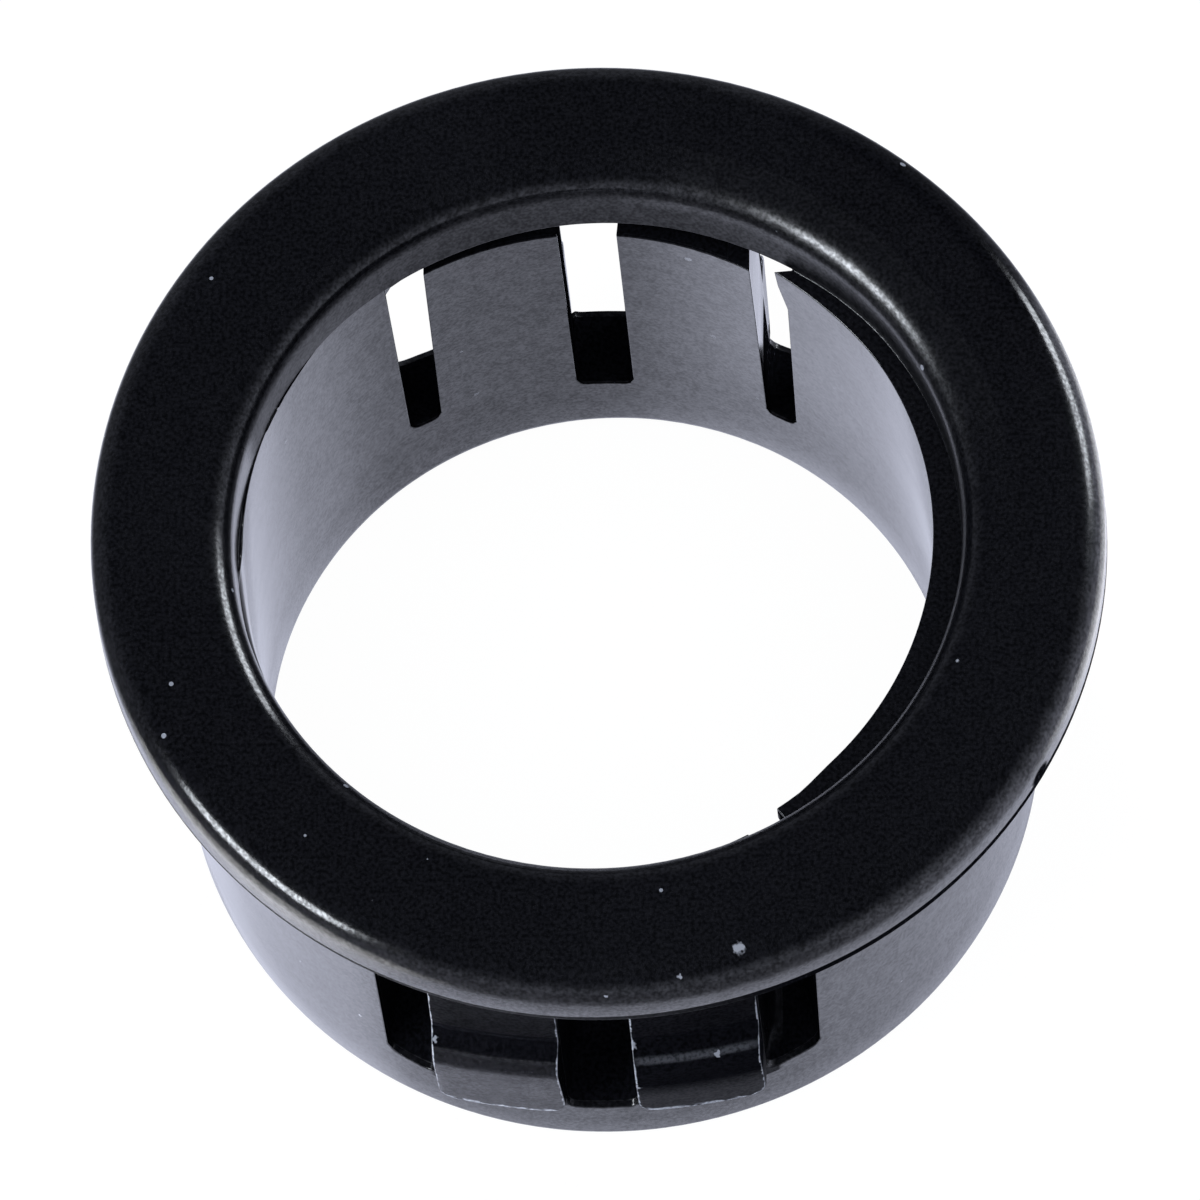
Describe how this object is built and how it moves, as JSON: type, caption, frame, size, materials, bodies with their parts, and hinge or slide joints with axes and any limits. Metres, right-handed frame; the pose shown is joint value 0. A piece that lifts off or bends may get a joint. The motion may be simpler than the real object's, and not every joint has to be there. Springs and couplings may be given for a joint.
{
  "type": "nylon snap bushing",
  "caption": "Round moulded nylon snap bushing: a flange with a rounded lip, an open bore for cables, and slotted barrel fingers that lock it into a panel hole.",
  "frame": {"origin": "on the bore axis, level with the underside of the flange, where it seats on the panel", "axes": "+Z along the bore, out of the mouth in the flange; the two groups of snap fingers face -Y and +Y"},
  "size_m": [0.0147, 0.0146, 0.0086],
  "materials": {
    "black_nylon": "smooth moulded black nylon with a satin gloss"
  },
  "bodies": {
    "root": {"bushing": "black_nylon"}
  },
  "joints": []
}
